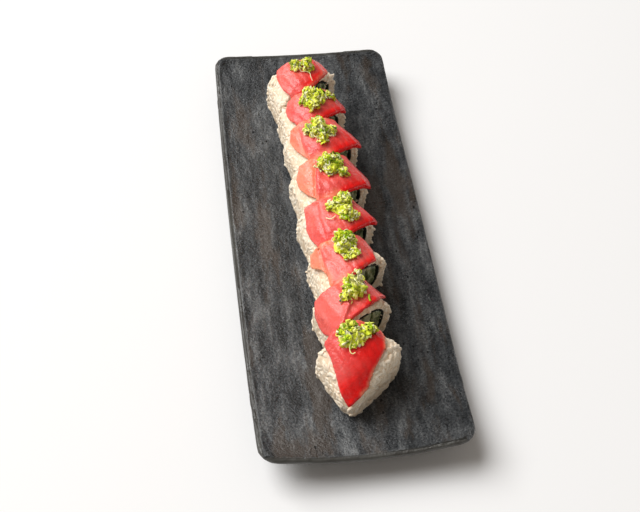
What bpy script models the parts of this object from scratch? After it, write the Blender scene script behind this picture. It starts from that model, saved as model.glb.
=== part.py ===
"""Eight slices of a cut uramaki roll, laid in a row on a long stoneware plate.

Each slice has a rice sleeve, a nori sleeve inside it, three sticks of filling that run
through the slice, a strip of raw tuna draped over the rice, and a heap of chopped scallion.
The plate's middle line is the Y axis and the roll's uncut end points to -Y.
Lengths below are millimetres. Meshes are in metres.
"""
import math
import random

import bmesh
import bpy
from mathutils import Vector
from mathutils.bvhtree import BVHTree

MM = 0.001
TOUCH_GAP = 0.3
REST_GAP = 0.5

# Plate
PLATE_LENGTH = 300.0
PLATE_WIDTH = 116.0
PLATE_CORNER_RADIUS = 9.0
CORNER_STEPS = 4
SHORT_SIDE_STEPS = 4
LONG_SIDE_STEPS = 12
LONG_SIDE_BOW = 0.030
SHORT_SIDE_BOW = 0.019
DISH_HEIGHT = 9.0
END_RISE = 9.5
SIDE_RISE = 5.7
PLATE_THICKNESS = 5.0
LIP_HEIGHT = 1.3
FOOT_INSET = 17.0
FOOT_WIDTH = 6.0
FOOT_RECESS = 2.0

# Slices: plan corners of the rice, as seen from above
BACK_LEFT, BACK_RIGHT, FRONT_RIGHT, FRONT_LEFT = range(4)
SLICE_CORNERS = (
    ((-26.0, 107.5), (13.5, 113.5), (18.5, 107.0), (-20.0, 83.0)),
    ((-21.5, 80.0), (14.0, 89.0), (21.0, 77.5), (-17.5, 61.0)),
    ((-20.5, 58.0), (13.5, 64.0), (25.0, 49.0), (-15.5, 31.0)),
    ((-21.0, 27.5), (16.5, 34.0), (25.5, 16.5), (-15.0, 0.0)),
    ((-20.0, -3.5), (15.0, 0.0), (24.5, -12.5), (-13.5, -30.5)),
    ((-18.0, -34.5), (14.5, -26.5), (26.8, -40.0), (-12.0, -61.0)),
    ((-19.5, -66.0), (12.5, -57.0), (24.0, -70.5), (-12.2, -90.5)),
    ((-22.0, -98.0), (13.0, -87.0), (27.0, -100.0), (-8.5, -130.0)),
)
RICE_HEIGHT = 38.0
RICE_TOP_EXPONENT = 2.1
RICE_BASE_EXPONENT = 5.0
RICE_BUMP = 0.9
RICE_EDGE_ROUND = 1.3
BARE_MARGIN_DEGREES = 14.0
RICE_SIDES = 36
RICE_STATIONS = (0.0, 0.05, 0.22, 0.41, 0.59, 0.78, 0.95, 1.0)

# Nori sleeve and filling
RICE_WALL = 5.2
NORI_HALF_HEIGHT = 13.6
NORI_CENTRE_HEIGHT = 19.0
NORI_EXPONENT = 2.7
NORI_THICKNESS = 0.8
NORI_SIDES = 18
FILLING_BANDS = {"crab": (-1.0, -0.05), "avocado": (0.0, 0.42), "cucumber": (0.46, 1.0)}
FILLING_STEPS = 5
FILLING_GAP = 0.5
FILLING_SIDE = 0.94
FILLING_RISE = 0.985

# Last slice: closed in front, lower towards its front left corner, its front edge rounded
END_SLICE = 8
END_POCKET = 0.55
POCKET_CLEARANCE = 0.02
END_DROP = 0.42
END_ROUND = 5.0
END_ROUND_START = 0.7

# Tuna: reach down the left and right flank, from the middle of the top, at five stations
TUNA_LIFT = 0.9
TUNA_THICKNESS = 3.1
TUNA_EDGE_THICKNESS = 1.3
TUNA_TAPER = 4.5
TUNA_FOLDS = range(-10, 200, 20)
TUNA_MERGE = 0.05
TUNA_STATIONS = (0.04, 0.27, 0.51, 0.75, 0.985)
TUNA_LEFT = (
    (14.0, 16.5, 17.0, 17.0, 16.5),
    (13.0, 17.0, 18.0, 17.5, 16.0),
    (14.0, 18.5, 18.5, 17.0, 15.5),
    (14.0, 19.0, 21.0, 18.5, 15.0),
    (15.0, 17.5, 21.0, 21.5, 20.5),
    (17.0, 22.0, 17.0, 16.5, 18.5),
    (18.0, 26.0, 27.0, 26.5, 23.0),
    (14.5, 16.5, 20.0, 24.0, 22.5),
)
TUNA_RIGHT = (
    (13.0, 14.0, 14.5, 15.0, 15.0),
    (17.0, 18.0, 19.0, 20.0, 20.5),
    (18.0, 19.0, 21.0, 22.5, 23.5),
    (18.0, 20.0, 21.0, 23.0, 24.5),
    (17.0, 19.0, 20.0, 22.0, 23.0),
    (15.0, 15.0, 14.0, 13.0, 11.0),
    (16.0, 17.5, 18.5, 19.5, 20.5),
    (15.5, 15.0, 13.0, 8.7, -8.0),
)
# How far the tuna hangs past the rice's front face at its right edge, middle and left edge,
# and how far the last slice's tuna reaches back: both stop short of the neighbouring slice
TUNA_FLAP = (
    (0.0, 5.0, 5.0),
    (3.0, 6.5, 6.5),
    (3.5, 6.5, 6.5),
    (3.5, 6.0, 6.0),
    (2.5, 5.5, 5.5),
    (2.0, 3.0, 4.0),
    (-3.5, 0.3, 0.0),
    (0.0, -0.6, -2.5),
)
TUNA_BACK_FLAP = 6.0
FLAP_STATION = 1.2
FLAP_CLEARANCE = 0.8
FLAP_DROOP = 0.4

# Scallion heaps: plan centre, half length, half width and height
SCALLION_HEAPS = (
    ((-3.0, 105.0), 8.5, 5.5, 6.5),
    ((-1.5, 75.0), 9.0, 8.0, 7.0),
    ((0.5, 49.5), 10.0, 8.5, 7.0),
    ((3.0, 20.0), 10.5, 7.5, 7.0),
    ((3.5, -12.5), 10.0, 8.5, 6.0),
    ((0.0, -38.5), 9.0, 8.5, 6.5),
    ((2.0, -68.0), 9.0, 8.0, 6.5),
    ((-3.0, -99.5), 12.0, 7.0, 6.5),
)
HEAP_SIDES = 10
HEAP_GAP = 0.65
HEAP_TURN_DEGREES = 40.0
HEAP_RINGS = ((0.55, 0.0), (0.8, 0.0), (0.86, 0.30), (0.55, 0.72), (0.25, 0.95))
SHREDS_PER_HEAP = 6
SHRED_SPREAD = 0.62
SHRED_SECTIONS = 4
SHRED_LENGTH = 9.0
SHRED_WIDTH = 1.7
SHRED_THICKNESS = 1.1

COLOURS = {
    "plate": ((0.030, 0.033, 0.035), 0.38),
    "rice": ((0.80, 0.72, 0.58), 0.50),
    "nori": ((0.010, 0.014, 0.010), 0.45),
    "crab": ((0.62, 0.55, 0.48), 0.45),
    "avocado": ((0.36, 0.42, 0.20), 0.45),
    "cucumber": ((0.08, 0.16, 0.04), 0.40),
    "tuna": ((0.62, 0.06, 0.05), 0.28),
    "scallion": ((0.42, 0.55, 0.06), 0.45),
}


def clear_scene():
    for item in list(bpy.data.objects):
        bpy.data.objects.remove(item, do_unlink=True)


def make_material(kind):
    colour, roughness = COLOURS[kind]
    material = bpy.data.materials.new(kind)
    material.use_nodes = True
    shader = material.node_tree.nodes["Principled BSDF"]
    shader.inputs["Base Color"].default_value = (*colour, 1.0)
    shader.inputs["Roughness"].default_value = roughness
    shader.inputs["Metallic"].default_value = 0.0
    return material


def make_piece(name, points, faces, material):
    """A closed smooth-shaded object from points in millimetres."""
    mesh = bpy.data.meshes.new(name)
    mesh.from_pydata([Vector(p) * MM for p in points], [], faces)
    shape = bmesh.new()
    shape.from_mesh(mesh)
    bmesh.ops.recalc_face_normals(shape, faces=shape.faces)
    bmesh.ops.triangulate(shape, faces=shape.faces)
    shape.to_mesh(mesh)
    shape.free()
    mesh.shade_smooth()
    mesh.set_sharp_from_angle(angle=math.radians(50))
    mesh.materials.append(material)
    piece = bpy.data.objects.new(name, mesh)
    bpy.context.scene.collection.objects.link(piece)
    return piece


def band(first, second, count):
    """Quads between two rings of points that start at these indices."""
    return [(first + i, first + (i + 1) % count, second + (i + 1) % count, second + i)
            for i in range(count)]


def rounded(angle, exponent):
    """A point of a unit superellipse."""
    c, s = math.cos(angle), math.sin(angle)
    power = 2.0 / exponent
    return (math.copysign(abs(c) ** power, c), math.copysign(abs(s) ** power, s))


def dish_height(x, y):
    """Height of the plate's upper face above the ground."""
    along = y / (PLATE_LENGTH / 2)
    across = x / (PLATE_WIDTH / 2)
    return DISH_HEIGHT + END_RISE * along ** 4 + SIDE_RISE * across ** 2


def plate_outline():
    """The bowed rectangle with round corners, counter-clockwise."""
    half_width, half_length = PLATE_WIDTH / 2, PLATE_LENGTH / 2
    points = []
    for corner_x, corner_y, start in ((1, 1, 0), (-1, 1, 90), (-1, -1, 180), (1, -1, 270)):
        for step in range(CORNER_STEPS + 1):
            angle = math.radians(start + 90 * step / CORNER_STEPS)
            points.append((corner_x * (half_width - PLATE_CORNER_RADIUS)
                           + PLATE_CORNER_RADIUS * math.cos(angle),
                           corner_y * (half_length - PLATE_CORNER_RADIUS)
                           + PLATE_CORNER_RADIUS * math.sin(angle)))
        x, y = points[-1]
        if start in (0, 180):
            for step in range(1, SHORT_SIDE_STEPS):
                points.append((x * (1 - 2 * step / SHORT_SIDE_STEPS), y))
        else:
            for step in range(1, LONG_SIDE_STEPS):
                points.append((x, y * (1 - 2 * step / LONG_SIDE_STEPS)))
    bowed = []
    for x, y in points:
        bow_x = 1 + LONG_SIDE_BOW * (1 - (y / half_length) ** 2)
        bow_y = 1 + SHORT_SIDE_BOW * (1 - (x / half_width) ** 2)
        bowed.append((x * bow_x, y * bow_y))
    return bowed


def ladder(count):
    """Faces that fill a ring of the outline with rungs across the plate."""
    middle = CORNER_STEPS + SHORT_SIDE_STEPS // 2
    faces = []
    for step in range(middle, middle + count // 2):
        rung = [step, step + 1, (2 * middle - step - 1) % count, (2 * middle - step) % count]
        faces.append(tuple(dict.fromkeys(rung)))
    return faces


def make_plate():
    """Rings from the middle of the dish, over the lip and down to the foot."""
    outline = plate_outline()
    count = len(outline)
    bottom = -PLATE_THICKNESS
    foot_inside = FOOT_INSET + FOOT_WIDTH
    rings = (
        (48.0, 0.0, False), (34.0, 0.0, False), (18.0, 0.0, False), (6.5, 0.0, False),
        (4.2, 0.2, False), (2.6, LIP_HEIGHT, False), (1.0, LIP_HEIGHT, False),
        (0.0, -0.6, False), (0.6, -2.6, False), (4.0, bottom, False),
        (FOOT_INSET - 1.5, bottom, False), (FOOT_INSET, 0.0, True), (foot_inside, 0.0, True),
        (foot_inside + 1.5, FOOT_RECESS, True),
    )
    points = []
    for inset, lift, from_ground in rings:
        for x, y in outline:
            px = x * (1 - inset / (PLATE_WIDTH / 2))
            py = y * (1 - inset / (PLATE_LENGTH / 2))
            ground = 0.0 if from_ground else dish_height(px, py)
            points.append((px, py, ground + lift))
    faces = ladder(count)
    for ring in range(len(rings) - 1):
        faces += band(ring * count, (ring + 1) * count, count)
    faces.append(tuple(range((len(rings) - 1) * count, len(rings) * count)))
    return make_piece("plate", points, faces, make_material("plate"))


class Slice:
    """The space of one slice: across it, up from the plate, and from back to front."""

    def __init__(self, number):
        self.corners = [Vector(c) for c in SLICE_CORNERS[number - 1]]
        self.is_end = number == END_SLICE

    def ends(self, along):
        c = self.corners
        return (c[BACK_LEFT].lerp(c[FRONT_LEFT], along), c[BACK_RIGHT].lerp(c[FRONT_RIGHT], along))

    def half_width(self, along):
        left, right = self.ends(along)
        return (right - left).length / 2

    def core_half_width(self, along):
        return self.half_width(along) - RICE_WALL

    def place(self, across, height, along):
        left, right = self.ends(along)
        plan = (left + right) / 2 + (right - left).normalized() * across
        if self.is_end:
            leftness = (1 - across / self.half_width(along)) / 2
            height *= 1 - END_DROP * leftness * along ** 2
        return (plan.x, plan.y, dish_height(plan.x, plan.y) + REST_GAP + height)

    def skin(self, angle, offset, along):
        """A point of the rice's outside, moved out by an offset."""
        exponent = RICE_TOP_EXPONENT if math.sin(angle) > 0 else RICE_BASE_EXPONENT
        across, up = rounded(angle, exponent)
        if self.is_end and along > END_ROUND_START:
            offset -= END_ROUND * ((along - END_ROUND_START) / (1 - END_ROUND_START)) ** 2
        return self.place(across * (self.half_width(along) + offset),
                          (up + 1) / 2 * (RICE_HEIGHT + offset), along)

    def across_at(self, angle, along):
        return rounded(angle, RICE_TOP_EXPONENT)[0] * self.half_width(along)

    def depth_at(self, across):
        """The plan's length from the back face to the front face."""
        return math.dist(self.place(across, 0.0, 0.0)[:2], self.place(across, 0.0, 1.0)[:2])

    def gap_to(self, other, across):
        """From this slice's front face to the next slice's back, or from its back to the last."""
        is_ahead = other.corners[BACK_LEFT].y < self.corners[BACK_LEFT].y
        start, end = (0.0, 1.0) if is_ahead else (1.0, 0.0)
        here = Vector(self.place(across, 0.0, end)[:2])
        ahead = (here - Vector(self.place(across, 0.0, start)[:2])).normalized()
        left, right = other.ends(start)
        facing = Vector((left.y - right.y, right.x - left.x))
        return (left - here).dot(facing) / ahead.dot(facing)

    def angles_by_reach(self, along, side):
        """Pairs of arc length from the middle of the top and angle, down one flank."""
        pairs = [(0.0, math.pi / 2)]
        last = self.skin(math.pi / 2, 0.0, along)
        for step in range(1, 91):
            angle = math.pi / 2 - side * math.radians(2 * step)
            here = self.skin(angle, 0.0, along)
            pairs.append((pairs[-1][0] + math.dist(here, last), angle))
            last = here
        return pairs

    def angle_at(self, reach, along):
        """The angle at an arc length from the middle of the top, to the right if positive."""
        pairs = self.angles_by_reach(along, 1 if reach > 0 else -1)
        for (near, near_angle), (far, far_angle) in zip(pairs, pairs[1:]):
            if far >= abs(reach):
                return near_angle + (far_angle - near_angle) * (abs(reach) - near) / (far - near)
        return pairs[-1][1]


def nori_ring(space, along, offset):
    points = []
    for step in range(NORI_SIDES):
        x, z = rounded(2 * math.pi * step / NORI_SIDES, NORI_EXPONENT)
        points.append(space.place(x * (space.core_half_width(along) + offset),
                                  NORI_CENTRE_HEIGHT + z * (NORI_HALF_HEIGHT + offset), along))
    return points


def deepest(number):
    """How near to the front the nori and the filling reach: the last slice is closed there."""
    return END_POCKET if number == END_SLICE else 1.0


def pocket_end(number):
    """The front end of the rice's hole, just clear of the nori where it is a blind pocket."""
    return deepest(number) + (POCKET_CLEARANCE if number == END_SLICE else 0.0)


def edge_reach(edges, along):
    """How far down a flank the tuna's edge lies, between its stations."""
    spot = min(max(along, TUNA_STATIONS[0]), TUNA_STATIONS[-1])
    for i in range(len(TUNA_STATIONS) - 1):
        start, end = TUNA_STATIONS[i], TUNA_STATIONS[i + 1]
        if spot <= end:
            return edges[i] + (edges[i + 1] - edges[i]) * (spot - start) / (end - start)


def tuna_edges(number, space, along):
    """The angles of the tuna's left and right edge at one station."""
    left = edge_reach(TUNA_LEFT[number - 1], along)
    right = edge_reach(TUNA_RIGHT[number - 1], along)
    along = min(along, 1.0)
    return space.angle_at(-left, along), space.angle_at(right, along)


def make_rice(number, material):
    """A sleeve with bumps the size of grains; its hole holds the nori."""
    space = Slice(number)
    draw = random.Random(100 + number)
    margin = math.radians(BARE_MARGIN_DEGREES)
    points = []
    last_station = len(RICE_STATIONS) - 1
    for station, along in enumerate(RICE_STATIONS):
        on_cut = station in (0, last_station)
        left, right = tuna_edges(number, space, along)
        for side in range(RICE_SIDES):
            angle = 2 * math.pi * side / RICE_SIDES
            bump = draw.uniform(0.0, RICE_BUMP)
            around = angle - 2 * math.pi if angle > 1.5 * math.pi else angle
            if right - margin < around < left + margin:
                bump = 0.0
            points.append(space.skin(angle, bump - (RICE_EDGE_ROUND if on_cut else 0.0), along))
    faces = []
    for station in range(last_station):
        faces += band(station * RICE_SIDES, (station + 1) * RICE_SIDES, RICE_SIDES)
    back_hole = len(points)
    points += nori_ring(space, 0.0, TOUCH_GAP)
    front_hole = len(points)
    points += nori_ring(space, pocket_end(number), TOUCH_GAP)
    faces += band(back_hole, front_hole, NORI_SIDES)
    faces += ring_face(0, back_hole)
    front = last_station * RICE_SIDES
    if number == END_SLICE:
        faces.append(tuple(range(front_hole, front_hole + NORI_SIDES)))
        faces.append(tuple(range(front, front + RICE_SIDES)))
    else:
        faces += ring_face(front, front_hole)
    return make_piece(f"rice_{number}", points, faces, material)


def ring_face(outer, inner):
    """A cut face between the rice's edge and its hole, two outer points to each inner one."""
    ratio = RICE_SIDES // NORI_SIDES
    faces = []
    for i in range(NORI_SIDES):
        a, b, c = (outer + (ratio * i + k) % RICE_SIDES for k in range(3))
        d, e = inner + i, inner + (i + 1) % NORI_SIDES
        faces += [(a, b, d), (b, e, d), (b, c, e)]
    return faces


def make_nori(number, material):
    space = Slice(number)
    points = []
    end = deepest(number)
    for along, offset in ((0.0, 0.0), (end, 0.0), (end, -NORI_THICKNESS), (0.0, -NORI_THICKNESS)):
        points += nori_ring(space, along, offset)
    faces = []
    for ring in range(4):
        faces += band(ring * NORI_SIDES, (ring + 1) % 4 * NORI_SIDES, NORI_SIDES)
    return make_piece(f"nori_{number}", points, faces, material)


def make_filling(kind, number, material):
    """A stick that fills one upright band of the nori sleeve."""
    space = Slice(number)
    inset = NORI_THICKNESS + FILLING_GAP
    first, last = (max(-FILLING_SIDE, min(FILLING_SIDE, side)) for side in FILLING_BANDS[kind])
    outline = []
    for step in range(FILLING_STEPS + 1):
        across = first + (last - first) * step / FILLING_STEPS
        height = (1 - abs(across) ** NORI_EXPONENT) ** (1 / NORI_EXPONENT)
        outline.append((across, height * FILLING_RISE))
    outline += [(across, -height) for across, height in reversed(outline)]
    end = deepest(number)
    points = []
    for along in (0.0, end):
        half_width = space.core_half_width(along) - inset
        half_height = NORI_HALF_HEIGHT - inset
        for across, up in outline:
            points.append(space.place(across * half_width,
                                      NORI_CENTRE_HEIGHT + up * half_height, along))
    count = len(outline)
    faces = band(0, count, count)
    faces += [tuple(range(count - 1, -1, -1)), tuple(range(count, 2 * count))]
    return make_piece(f"{kind}_{number}", points, faces, material)


def tuna_sheet(number, space):
    """The tuna's outline over angle and along, cut where the rice's skin turns."""
    sheet = bmesh.new()
    rows = []
    for along in (*TUNA_STATIONS, FLAP_STATION):
        left, right = tuna_edges(number, space, along)
        rows.append((sheet.verts.new((right, along, 0)), sheet.verts.new((left, along, 0))))
    for (right, left), (next_right, next_left) in zip(rows, rows[1:]):
        sheet.faces.new((right, left, next_left, next_right))
    for degrees in TUNA_FOLDS:
        sheet_parts = sheet.verts[:] + sheet.edges[:] + sheet.faces[:]
        bmesh.ops.bisect_plane(sheet, geom=sheet_parts, plane_no=(1, 0, 0),
                               plane_co=(math.radians(degrees), 0, 0))
    bmesh.ops.remove_doubles(sheet, verts=sheet.verts, dist=TUNA_MERGE)
    sheet.verts.index_update()
    spots = [(v.co.x, v.co.y) for v in sheet.verts]
    faces = [tuple(v.index for v in f.verts) for f in sheet.faces]
    rim = [tuple(v.index for v in e.verts) for e in sheet.edges if e.is_boundary]
    sheet.free()
    return spots, faces, rim


def flap_reach(number, space, across, part):
    """How far past the front face the tuna ends, short of the next slice."""
    right, middle, left = TUNA_FLAP[number - 1]
    if part < 0.5:
        reach = right + (middle - right) * 2 * part
    else:
        reach = middle + (left - middle) * (2 * part - 1)
    if number < END_SLICE:
        reach = min(reach, space.gap_to(Slice(number + 1), across) - FLAP_CLEARANCE)
    return reach


def back_reach(number, space, across, part):
    """How far the last slice's tuna reaches back towards the slice before it."""
    room = space.gap_to(Slice(number - 1), across) - FLAP_CLEARANCE
    return min(TUNA_BACK_FLAP * math.sin(math.pi * part), room)


def make_tuna(number, material):
    """A slice of fish that follows the rice, thinner at its left and right edges."""
    space = Slice(number)
    draw = random.Random(300 + number)
    spots, faces, rim = tuna_sheet(number, space)
    under, top = [], []
    for angle, along in spots:
        left, right = tuna_edges(number, space, along)
        part = min(max((angle - right) / (left - right), 0.0), 1.0)
        taper = min(1.0, TUNA_TAPER * part, TUNA_TAPER * (1 - part))
        thick = TUNA_EDGE_THICKNESS + (TUNA_THICKNESS - TUNA_EDGE_THICKNESS) * taper
        thick *= draw.uniform(0.94, 1.06)
        across = space.across_at(angle, min(along, 1.0))
        depth = space.depth_at(across)
        reach = flap_reach(number, space, across, part)
        lift = TUNA_LIFT
        if along > 1.0:
            lift -= max(0.0, reach) * FLAP_DROOP
            along = 1.0 + reach / depth
        elif space.is_end and along < TUNA_STATIONS[1] / 2:
            along -= back_reach(number, space, across, part) / depth
        elif along > TUNA_STATIONS[-2] + 0.01:
            along *= min(1.0, 1.0 + reach / depth)
        under.append(space.skin(angle, lift, along))
        top.append(space.skin(angle, lift + thick, along))
    shift = len(spots)
    solid = list(faces)
    solid += [tuple(i + shift for i in reversed(face)) for face in faces]
    solid += [(a, b, b + shift, a + shift) for a, b in rim]
    return make_piece(f"tuna_{number}", under + top, solid, material)


def make_scallion(number, tuna, material):
    """A low mound with a few shreds fused on, resting on the tuna."""
    (x0, y0), half_length, half_width, height = SCALLION_HEAPS[number - 1]
    draw = random.Random(500 + number)
    tree = BVHTree.FromPolygons([v.co for v in tuna.data.vertices],
                                [p.vertices for p in tuna.data.polygons])

    def below(x, y):
        return tree.ray_cast(Vector((x, y, 100.0)) * MM, Vector((0, 0, -1)))[0]

    tuna_top = below(x0, y0).z / MM

    def ground(x, y):
        hit = below(x, y)
        return (hit.z / MM if hit else tuna_top) + HEAP_GAP

    turn = math.radians(draw.uniform(0, HEAP_TURN_DEGREES))

    def spot(radius, angle, lift):
        x = radius * half_length * math.cos(angle)
        y = radius * half_width * math.sin(angle)
        px = x0 + x * math.cos(turn) - y * math.sin(turn)
        py = y0 + x * math.sin(turn) + y * math.cos(turn)
        return (px, py, ground(px, py) + lift)

    points = [spot(0.0, 0.0, 0.0)]
    for radius, rise in HEAP_RINGS:
        for side in range(HEAP_SIDES):
            angle = 2 * math.pi * side / HEAP_SIDES
            wobble = draw.uniform(0.82, 1.18)
            points.append(spot(radius * wobble, angle, rise * height * draw.uniform(0.8, 1.1)))
    points.append(spot(0.0, 0.0, height))
    top = len(points) - 1
    faces = []
    for side in range(HEAP_SIDES):
        following = (side + 1) % HEAP_SIDES
        faces.append((0, 1 + following, 1 + side))
        faces.append((top, top - HEAP_SIDES + side, top - HEAP_SIDES + following))
    for ring in range(len(HEAP_RINGS) - 1):
        faces += band(1 + ring * HEAP_SIDES, 1 + (ring + 1) * HEAP_SIDES, HEAP_SIDES)
    heap = make_piece(f"scallion_{number}", points, faces, material)

    shreds = bpy.data.collections.new(f"shreds_{number}")
    for index in range(SHREDS_PER_HEAP):
        angle = 2 * math.pi * (index + draw.uniform(-0.3, 0.3)) / SHREDS_PER_HEAP
        heading = angle + draw.uniform(0.6, 1.6)
        bend = draw.uniform(-0.9, 0.9)
        shred = make_shred(f"shred_{number}_{index}", spot(SHRED_SPREAD, angle, 0.0), heading, bend,
                           draw.uniform(0.35, 0.75) * height, ground, material)
        bpy.context.scene.collection.objects.unlink(shred)
        shreds.objects.link(shred)
    union = heap.modifiers.new("fuse", "BOOLEAN")
    union.operation = "UNION"
    union.solver = "EXACT"
    union.operand_type = "COLLECTION"
    union.collection = shreds
    fused = bpy.data.meshes.new_from_object(
        heap.evaluated_get(bpy.context.evaluated_depsgraph_get()))
    heap.modifiers.clear()
    heap.data = fused
    for shred in list(shreds.objects):
        bpy.data.objects.remove(shred, do_unlink=True)
    bpy.data.collections.remove(shreds)


def make_shred(name, start, heading, bend, lift, ground, material):
    """A curled strip, its middle over the given point and its ends lower."""
    points = []
    for station in range(SHRED_SECTIONS):
        part = station / (SHRED_SECTIONS - 1) - 0.5
        angle = heading + bend * part
        x = start[0] + math.cos(angle) * SHRED_LENGTH * part
        y = start[1] + math.sin(angle) * SHRED_LENGTH * part
        half = SHRED_WIDTH / 2 * (1 - abs(part) * 0.5)
        base = ground(x, y) + lift * (1 - 1.2 * abs(part))
        side = Vector((-math.sin(angle), math.cos(angle)))
        for across, up in ((-half, 0), (half, 0), (half, SHRED_THICKNESS), (-half, SHRED_THICKNESS)):
            points.append((x + side.x * across, y + side.y * across, base + up))
    end = 4 * (SHRED_SECTIONS - 1)
    faces = [(3, 2, 1, 0), tuple(range(end, end + 4))]
    for station in range(SHRED_SECTIONS - 1):
        faces += band(4 * station, 4 * station + 4, 4)
    return make_piece(name, points, faces, material)


def main():
    clear_scene()
    make_plate()
    materials = {kind: make_material(kind) for kind in COLOURS if kind != "plate"}
    for number in range(1, len(SLICE_CORNERS) + 1):
        make_rice(number, materials["rice"])
        make_nori(number, materials["nori"])
        for kind in FILLING_BANDS:
            make_filling(kind, number, materials[kind])
        tuna = make_tuna(number, materials["tuna"])
        make_scallion(number, tuna, materials["scallion"])


main()
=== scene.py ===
"""Looks of an uramaki roll in eight slices on a long stoneware plate.

Each slice gets cooked rice as single grains over a core, a nori sheet, three sticks of
filling, a draped strip of raw tuna and a heap of chopped scallion.
"""
import math
import random

import bpy
import numpy as np
from mathutils import Matrix, Vector, noise
from mathutils.bvhtree import BVHTree
from mathutils.kdtree import KDTree


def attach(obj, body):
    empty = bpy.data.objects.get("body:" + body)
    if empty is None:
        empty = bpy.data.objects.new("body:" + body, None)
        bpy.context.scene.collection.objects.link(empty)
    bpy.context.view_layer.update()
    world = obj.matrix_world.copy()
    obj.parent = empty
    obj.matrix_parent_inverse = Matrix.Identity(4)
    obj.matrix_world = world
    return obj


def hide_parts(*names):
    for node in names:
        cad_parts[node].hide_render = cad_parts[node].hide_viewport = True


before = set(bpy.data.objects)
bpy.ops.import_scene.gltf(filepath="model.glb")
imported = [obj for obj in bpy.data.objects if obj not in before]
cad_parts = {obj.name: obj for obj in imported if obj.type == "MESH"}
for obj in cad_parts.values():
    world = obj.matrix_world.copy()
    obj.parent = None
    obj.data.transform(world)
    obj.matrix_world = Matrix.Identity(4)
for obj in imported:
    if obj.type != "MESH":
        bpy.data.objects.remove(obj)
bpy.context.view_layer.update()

MM = 0.001
TINY = 1e-9
SLICES = range(1, 9)
END_SLICE = max(SLICES)

# Camera, fitted to the plate's rim
CAMERA_TARGET = Vector((-6.66, -13.36, 9.0)) * MM
CAMERA_AZIMUTH = math.radians(12.30)
CAMERA_ELEVATION = math.radians(53.54)
CAMERA_ROLL = math.radians(5.45)
CAMERA_DISTANCE = 605 * MM
CAMERA_LENS = 56.25
CAMERA_SENSOR = 36.0
CAMERA_NEAR = 0.01

# Studio: a white floor, a window high at the back left, and a dim warm room; metres and watts
FLOOR_SIZE = 8.0
FLOOR_WHITE = (0.92, 0.92, 0.92, 1.0)
WINDOW_PLACE = Vector((-1.9, 1.05, 2.75))
WINDOW_SIZE = 2.5
WINDOW_POWER = 150.0
ROOM_COLOUR = (1.0, 0.91, 0.82, 1.0)
ROOM_STRENGTH = 0.24

# Plate: the relief's scales run across, along and up, and a bow is a share of the half width or length
PLATE_HALF_LENGTH = 150 * MM
PLATE_HALF_WIDTH = 58 * MM
PLATE_END_BOW = 0.019
PLATE_SIDE_BOW = 0.030
PLATE_VOXEL = 1.15 * MM
PLATE_RELIEF = 0.45 * MM
LIP_WIDTH = 3.6 * MM
LIP_WIDTH_RIGHT = 1.2 * MM
LIP_RIGHT_FROM = 0.9 * PLATE_HALF_WIDTH
LIP_FADE = 1.2 * MM
WAVE_SCALES = (260, 70, 100)
WAVE_SHARE = 0.6
RIPPLE_SCALES = (560, 190, 100)
RIPPLE_SHIFT = (0, 0, 9)

# Rice
GRAIN_LENGTH = 5.4 * MM
GRAIN_WIDTH = 2.8 * MM
GRAIN_HEIGHT = 2.3 * MM
GRAIN_NARROWING = 0.22
GRAIN_BOW = 0.10
GRAIN_LENGTHS = (0.75, 1.1)
GRAIN_GIRTHS = (0.9, 1.1)
# Grains' tones lie above the core's 0, whose browner colour is painted shade between the grains
GRAIN_TONES = (0.4, 1.0)
GRAIN_ROLL = 0.3
GRAIN_SPACING = 1.95 * MM
CANDIDATES_PER_MM2 = 1.5
SPREAD_SEED = 900
GRAIN_SEED = 40
# A grain is left out where another piece lies this near over it
COVER_START = 0.05 * MM
COVER_REACH = 2.0 * MM
CORE_SHRINK = 0.1 * MM
CORE_VOXEL = 1.0 * MM
CORE_LUMP = 0.5 * MM
CORE_LUMP_SCALE = 420
# A surface counts as a cut face, or as the last slice's rough front, by its normal
CUT_MOST_Z = 0.35
CUT_LEAST_Y = 0.6
ROUGH_MOST_Y = -0.3
ROUGH_LEAST_X = -0.25
# A grain's tilt, and its middle's height over the surface in millimetres
CUT_TILT = 0.1
CUT_HEIGHTS = (-1.0, -0.7)
FLANK_TILT = 0.16
FLANK_HEIGHTS = (-1.05, -0.65)
ROUGH_HEIGHTS = (-0.9, -0.1)

# Nori and filling
NORI_RIPPLE = 0.35 * MM
NORI_RIPPLE_SCALE = 260
NORI_EDGE_DEGREES = 40
FILLING_VOXEL = 0.8 * MM
FILLING_LUMP = 0.7 * MM
FILLING_LUMP_SCALE = 500

# Tuna
TUNA_VOXEL = 0.62 * MM
TUNA_SWELL = 0.3 * MM
TUNA_WAVE = 0.5 * MM
TUNA_WAVE_SCALE = 90
TUNA_RIM = 4.5 * MM
TUNA_STILL_RIM = 1.0 * MM
TUNA_ROUNDS = 160
NORMAL_ROUNDS = 12
RIM_BEND = math.radians(50)
RIM_STEPS = 4
LEFT_EDGE = 8 * MM
RIGHT_EDGE = 4 * MM
FRONT_EDGE = 4 * MM
# What is added to a slice's own red at its back left corner, and on top of that towards the right,
# towards the front and at the right of the front edge: partly the fish's own darker red, partly painted
# shade on the sides turned away from the window
RED_START = -0.4
RED_AND_SHADE_RIGHT = 0.5
RED_AND_SHADE_FRONT = 0.4
RED_AND_SHADE_FRONT_EDGE = 0.5
RED_AND_SHADE_FRONT_EDGE_FADE = 8 * MM
PALE_UNDER_FOLD = 0.8
SINEW_ACROSS = 0.8
SINEW_ALONG = 0.45
# Each slice's own red, and how pale it gets at its left and at its right edge
TUNA_RED = {1: 0.42, 2: 0.36, 3: 0.40, 4: 0.40, 5: 0.34, 6: 0.22, 7: 0.26, 8: 0.72}
TUNA_PALE_EDGE = {1: 0.35, 2: 0.45, 3: 0.85, 4: 0.95, 5: 0.4, 6: 0.95, 7: 0.3, 8: 0.15}
TUNA_PALE_RIGHT = {1: 0.7, 2: 0.0, 3: 0.0, 4: 0.0, 5: 0.0, 6: 0.5, 7: 0.0, 8: 0.9}
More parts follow.
